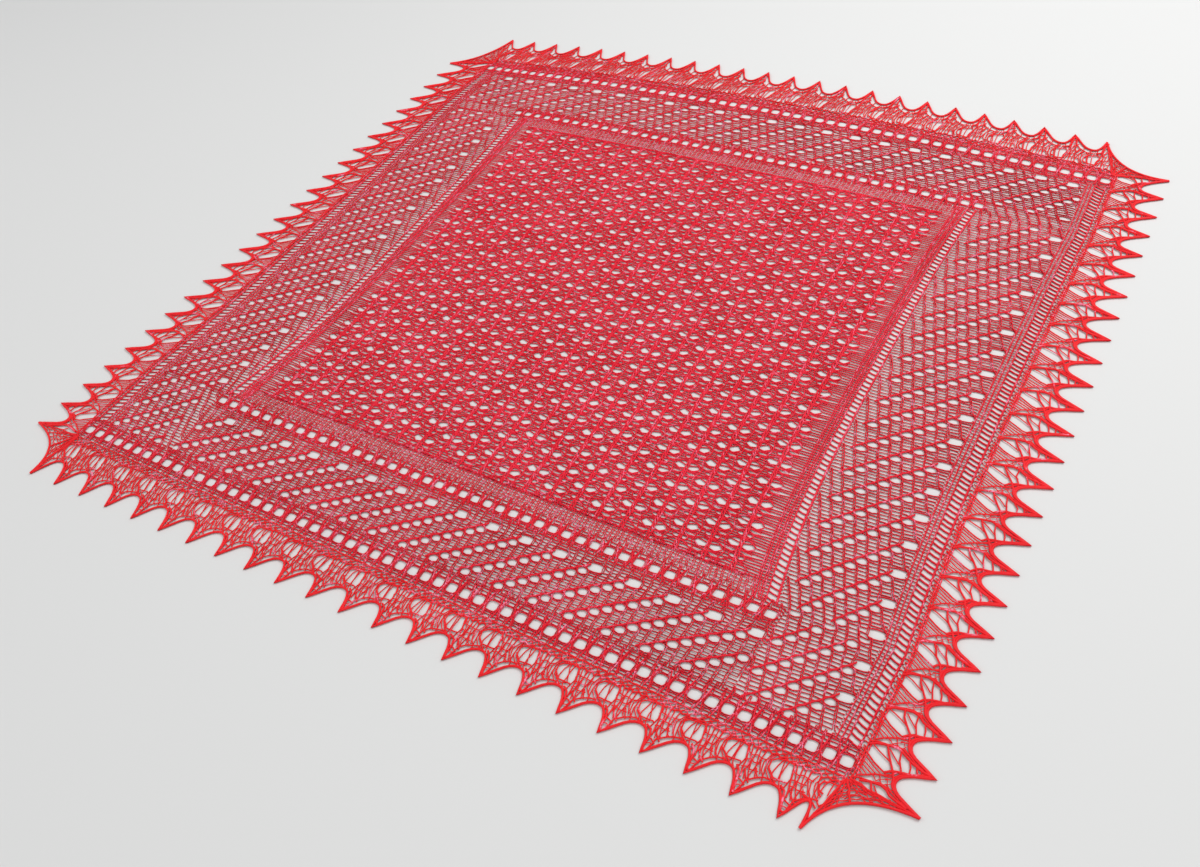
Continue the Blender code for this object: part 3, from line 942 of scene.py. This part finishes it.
def corner_net(skein, name, finish):
    """The end of an edging, from its last tip to the mitre in the corner's wide hollow."""
    side = SIDES[name]
    if name in ("front", "back"):
        pair = (name, ("left", "right")[finish])
    else:
        pair = (("front", "back")[finish], name)
    first, second = pair
    pull = np.array(CORNERS[pair])
    start = np.array(SIDES[first]["last" if second == "right" else "first"])
    stop = np.array(SIDES[second]["last" if first == "back" else "first"])
    if name == second:
        start, stop = stop, start
    x, y = edging_place(side, np.array([float(finish)]), 0.0)
    inner = np.array([x[0], y[0]])
    t = np.linspace(0, 0.5, CURVE_POINTS)[:, None]
    curve = (1 - t) ** 2 * start + 2 * t * (1 - t) * pull + t**2 * stop
    points = inner + CURVE_INSET * (curve - inner)
    skein.add(points[:, 0], points[:, 1], CORNER_HEIGHT, CORD)
    for ray in RAYS:
        stray = rng.normal(0, RAY_JITTER, (len(RAY_SHARES), 2))
        points = inner + RAY_SHARES * (curve[ray] - inner) + stray
        skein.add(points[:, 0], points[:, 1], OVER, OVERLAY if ray in BOLD_RAYS else FINE)
    swing = np.where(np.arange(CURVE_POINTS) % 2, WAVE_SWING, -WAVE_SWING)[:, None]
    for share in WAVES:
        stray = rng.normal(0, WAVE_JITTER, (CURVE_POINTS, 2))
        points = inner + (share + swing) * (curve - inner) + stray
        skein.add(points[:, 0], points[:, 1], BED + WAVE_LIFT, FINE)


def linear(hex_colour):
    """An sRGB hex colour as a linear one."""
    channels = [int(hex_colour[i: i + 2], 16) / 255 for i in (1, 3, 5)]
    return [c / 12.92 if c <= 0.04045 else ((c + 0.055) / 1.055) ** 2.4 for c in channels] + [1.0]


def add_node(tree, kind, settings=None, inputs=None):
    """A node with its settings, and its inputs set to values or linked to sockets."""
    node = tree.nodes.new(kind)
    for name, value in (settings or {}).items():
        setattr(node, name, value)
    for name, value in (inputs or {}).items():
        if isinstance(value, bpy.types.NodeSocket):
            tree.links.new(value, node.inputs[name])
        else:
            node.inputs[name].default_value = value
    return node


# Each part's yarn: its shade, a darker painted shade for strands low in the cloth, where the strands over
# them would shadow them, and the brighter one where less dye took
DYES = {
    "centre": ("#EC0C2C", "#B40018", "#FF3450"),
    "border": ("#E60A26", "#AC0014", "#F82440"),
    "edging": ("#EA0A18", "#B0000E", "#FC2028"),
}
# The pale colour of the painted highlights on the loops
PAINTED_HIGHLIGHT = "#FFA8CC"
# How many of each pattern there are to a metre. Clouds of dye are about 70 mm across. A fleck
# is about 2 mm long, nearly the width of a loop's head as drawn. A bump is about 0.55 mm: one ply of a yarn
# half as thick as the drawn one would be about 0.45 mm, so it is a little coarser than that
CLOUDS = 14.0
# The flecks are painted highlights
FLECKS = 520.0
PLIES = 1800.0
# The heights in metres between which strands go from the painted shade to the full one
LOW_STRAND = 0.0006
HIGH_STRAND = 0.0019
# A soft shine with thin fuzz, set beside the photograph
FINISH = {"Roughness": 0.5, "Specular IOR Level": 0.3, "Sheen Weight": 0.05, "Sheen Roughness": 0.4}


def yarn_material(name, shade, painted_shade, bright):
    """Laceweight yarn, taken as silk and wool in two plies: spun, twisted, dyed, knitted and blocked wet.

    That gives the eye a round strand with a soft shine and slow changes of shade where the dye took
    unevenly.
    Strands low in the cloth are darker: that is painted shade. Pale lilac flecks on the loops are painted
    highlights, where a stretched loop would catch the light. The fibre and the plies can't be told from the
    photograph: they are a guess from the shine.
    """
    material = bpy.data.materials.new(name)
    material.use_nodes = True
    tree = material.node_tree
    shader = tree.nodes["Principled BSDF"]
    place = add_node(tree, "ShaderNodeTexCoord").outputs["Object"]
    height = add_node(tree, "ShaderNodeSeparateXYZ", inputs={"Vector": place}).outputs["Z"]
    patches = add_node(tree, "ShaderNodeTexNoise", inputs={"Vector": place, "Scale": CLOUDS, "Detail": 3.0})
    # Painted shade: the lower a strand lies in the cloth, the more of the darker colour it gets, as if
    # shadowed by the strands over it
    lifted = add_node(tree, "ShaderNodeMapRange", inputs={
        "Value": height, "From Min": LOW_STRAND, "From Max": HIGH_STRAND, "To Min": 0.0, "To Max": 1.0})
    body = add_node(tree, "ShaderNodeMix", {"data_type": "RGBA"}, {
        "Factor": lifted.outputs["Result"], 6: linear(painted_shade), 7: linear(shade)})
    dyed = add_node(tree, "ShaderNodeMapRange", inputs={
        "Value": patches.outputs["Fac"], "From Min": 0.35, "From Max": 0.7, "To Min": 0.0, "To Max": 0.5})
    varied = add_node(tree, "ShaderNodeMix", {"data_type": "RGBA"}, {
        "Factor": dyed.outputs["Result"], 6: body.outputs[2], 7: linear(bright)})
    # Painted highlight: a pale colour mixed into the yarn in noisy flecks, on the points whose gleam is set
    gleam = add_node(tree, "ShaderNodeAttribute", {"attribute_name": "gleam"})
    specks = add_node(tree, "ShaderNodeTexNoise", inputs={"Vector": place, "Scale": FLECKS, "Detail": 1.0})
    caught = add_node(tree, "ShaderNodeMapRange", inputs={
        "Value": specks.outputs["Fac"], "From Min": 0.42, "From Max": 0.56, "To Min": 0.05, "To Max": 0.75})
    painted_highlight_share = add_node(tree, "ShaderNodeMath", {"operation": "MULTIPLY"}, {
        0: gleam.outputs["Fac"], 1: caught.outputs["Result"]})
    colour = add_node(tree, "ShaderNodeMix", {"data_type": "RGBA"}, {
        "Factor": painted_highlight_share.outputs["Value"], 6: varied.outputs[2], 7: linear(PAINTED_HIGHLIGHT)})
    tree.links.new(colour.outputs[2], shader.inputs["Base Color"])
    fibre = add_node(tree, "ShaderNodeTexNoise", inputs={"Vector": place, "Scale": PLIES, "Detail": 1.0})
    twist = add_node(tree, "ShaderNodeBump", inputs={
        "Height": fibre.outputs["Fac"], "Strength": 0.4, "Distance": 0.0003})
    tree.links.new(twist.outputs["Normal"], shader.inputs["Normal"])
    for socket, value in FINISH.items():
        shader.inputs[socket].default_value = value
    material.diffuse_color = linear(shade)
    return material


# How many sides a strand's tube has: the bold cords of the edgings are rounder. Thickness 1 keeps its width
SIDES_OF_TUBE = {"centre": 3, "border": 3, "edging": 5}
THICKNESS = 1.0


def spinning_tree():
    """Edges become yarn: a curve along each strand, and a tube round it that is closed at its ends."""
    tree = bpy.data.node_groups.new("spun_yarn", "GeometryNodeTree")
    face = tree.interface
    face.new_socket("Strands", in_out="INPUT", socket_type="NodeSocketGeometry")
    face.new_socket("Sides", in_out="INPUT", socket_type="NodeSocketInt")
    face.new_socket("Thickness", in_out="INPUT", socket_type="NodeSocketFloat")
    face.new_socket("Yarn", in_out="INPUT", socket_type="NodeSocketMaterial")
    face.new_socket("Lace", in_out="OUTPUT", socket_type="NodeSocketGeometry")
    given = add_node(tree, "NodeGroupInput")
    width = add_node(tree, "GeometryNodeInputNamedAttribute", {"data_type": "FLOAT"}, {
        "Name": "yarn_radius"})
    scale = add_node(tree, "ShaderNodeMath", {"operation": "MULTIPLY"}, {
        0: width.outputs["Attribute"], 1: given.outputs["Thickness"]})
    ring = add_node(tree, "GeometryNodeCurvePrimitiveCircle", inputs={
        "Resolution": given.outputs["Sides"], "Radius": 1.0})
    curve = add_node(tree, "GeometryNodeMeshToCurve", inputs={"Mesh": given.outputs["Strands"]})
    tube = add_node(tree, "GeometryNodeCurveToMesh", inputs={
        "Curve": curve.outputs["Curve"], "Profile Curve": ring.outputs["Curve"],
        "Scale": scale.outputs["Value"], "Fill Caps": True})
    smooth = add_node(tree, "GeometryNodeSetShadeSmooth", inputs={"Geometry": tube.outputs["Mesh"]})
    real = add_node(tree, "GeometryNodeRealizeInstances", inputs={"Geometry": smooth.outputs["Geometry"]})
    finish = add_node(tree, "GeometryNodeSetMaterial", inputs={
        "Geometry": real.outputs["Geometry"], "Material": given.outputs["Yarn"]})
    out = add_node(tree, "NodeGroupOutput")
    tree.links.new(finish.outputs["Geometry"], out.inputs["Lace"])
    return tree


def spun(name, skein, tree, material, sides):
    """The piece made from a skein: its strands as edges, through the spinning tree, as a plain mesh."""
    points = np.concatenate(skein.runs)
    radius = np.concatenate(skein.widths)
    gleam = np.concatenate(skein.gleams)
    counts = [len(run) for run in skein.runs]
    starts = np.cumsum([0] + counts[:-1])
    edges = np.concatenate([np.column_stack([np.arange(s, s + n - 1), np.arange(s + 1, s + n)])
                            for s, n in zip(starts, counts)])
    mesh = bpy.data.meshes.new(f"{name}_strands")
    mesh.vertices.add(len(points))
    mesh.vertices.foreach_set("co", points.astype(np.float32).ravel())
    mesh.edges.add(len(edges))
    mesh.edges.foreach_set("vertices", edges.astype(np.int32).ravel())
    mesh.attributes.new("yarn_radius", "FLOAT", "POINT").data.foreach_set("value", radius.astype(np.float32))
    mesh.attributes.new("gleam", "FLOAT", "POINT").data.foreach_set("value", gleam.astype(np.float32))
    mesh.update()
    source = bpy.data.objects.new(f"{name}_strands", mesh)
    bpy.context.scene.collection.objects.link(source)
    modifier = source.modifiers.new("spin", "NODES")
    modifier.node_group = tree
    sockets = {item.name: item.identifier for item in tree.interface.items_tree if item.in_out == "INPUT"}
    modifier[sockets["Sides"]] = sides
    modifier[sockets["Thickness"]] = THICKNESS
    modifier[sockets["Yarn"]] = material
    graph = bpy.context.evaluated_depsgraph_get()
    finished = bpy.data.meshes.new_from_object(source.evaluated_get(graph), depsgraph=graph)
    finished.name = name
    piece = bpy.data.objects.new(name, finished)
    bpy.context.scene.collection.objects.link(piece)
    bpy.data.objects.remove(source, do_unlink=True)
    return piece


def plan_area(node):
    """The plan area of a flat solid: that of its faces that look up."""
    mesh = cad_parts[node].data
    mesh.calc_loop_triangles()
    area = 0.0
    for face in mesh.loop_triangles:
        if face.normal.z > 0.5:
            area += face.area * face.normal.z
    return area


def cast_on():
    """Every piece of lace: knitted, spun, and put in place of its solid."""
    tree = spinning_tree()
    yarns = {kind: yarn_material(f"{kind}_silk_wool_yarn", *dye) for kind, dye in DYES.items()}
    whole = CENTRE_H / MM
    plans = [
        ("centre_lace_front_half", "centre_panel", "centre", centre_half, (-whole, 0.0)),
        ("centre_lace_back_half", "centre_panel", "centre", centre_half, (0.0, whole)),
    ]
    for name in ("front", "back", "left", "right"):
        make = border_end if name in ("front", "back") else border_side
        plans.append((f"border_{name}_lace", f"border_{name}", "border", make, (name,)))
    for name in SIDES:
        plans.append((f"edging_{name}_lace", f"edging_{name}", "edging", edging, (name,)))
    for name, node, kind, make, values in plans:
        skein = Skein()
        make(skein, *values)
        piece = spun(name, skein, tree, yarns[kind], SIDES_OF_TUBE[kind])
        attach(piece, "root")
        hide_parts(node)
        # Each half of the centre is half of its panel
        share = 0.5 if node == "centre_panel" else 1.0
        plan_area(node) * share


# The camera, as the photograph was taken: its place in metres from the shawl's middle, its turn in degrees,
# and its lens and sensor in millimetres
CAMERA_PLACE = (0.7233, -0.9519, 1.0445)
CAMERA_TURN = (41.405, 8.605, 30.083)
CAMERA_LENS = 33.403
CAMERA_SENSOR = 36.0
# The floor's side and height in metres
FLOOR_SIZE = 40
FLOOR_AT = -0.0004
# Each light panel: its name, its place in metres, its side and its watts
PANELS = (
    ("key", (0.9, 1.5, 2.4), 1.6, 50),
    ("fill", (-2.2, -1.0, 2.2), 2.5, 19),
    ("near", (1.8, -2.2, 2.0), 2.0, 15),
)
ROOM = "#F2F3F6"
ROOM_LIGHT = 0.58


def camera():
    """The photograph's view."""
    data = bpy.data.cameras.new("camera")
    data.lens = CAMERA_LENS
    data.sensor_width = CAMERA_SENSOR
    view = bpy.data.objects.new("camera", data)
    bpy.context.scene.collection.objects.link(view)
    view.location = CAMERA_PLACE
    view.rotation_euler = [math.radians(angle) for angle in CAMERA_TURN]
    bpy.context.scene.camera = view


def studio():
    """A plain pale floor just under the shawl, and soft light from large panels."""
    bpy.ops.mesh.primitive_plane_add(size=FLOOR_SIZE, location=(0, 0, FLOOR_AT))
    floor = bpy.context.object
    floor.name = "floor"
    # Uncoated paper, pressed without a glaze: it shows no shine, only the shawl's soft shadow
    paper = bpy.data.materials.new("matt_studio_paper")
    paper.use_nodes = True
    shader = paper.node_tree.nodes["Principled BSDF"]
    shader.inputs["Base Color"].default_value = linear("#DCDCDA")
    shader.inputs["Roughness"].default_value = 0.9
    floor.data.materials.append(paper)
    for name, place, size, power in PANELS:
        light = bpy.data.lights.new(name, "AREA")
        light.size = size
        light.energy = power
        lamp = bpy.data.objects.new(name, light)
        lamp.location = place
        lamp.rotation_euler = (-Vector(place)).to_track_quat("-Z", "Y").to_euler()
        bpy.context.scene.collection.objects.link(lamp)
    world = bpy.data.worlds.new("soft_room")
    world.use_nodes = True
    world.node_tree.nodes["Background"].inputs["Color"].default_value = linear(ROOM)
    world.node_tree.nodes["Background"].inputs["Strength"].default_value = ROOM_LIGHT
    bpy.context.scene.world = world
    # The dye is far more saturated than the filmic curve can show, so colours are shown as they are
    bpy.context.scene.view_settings.view_transform = "Standard"


camera()
cast_on()
studio()
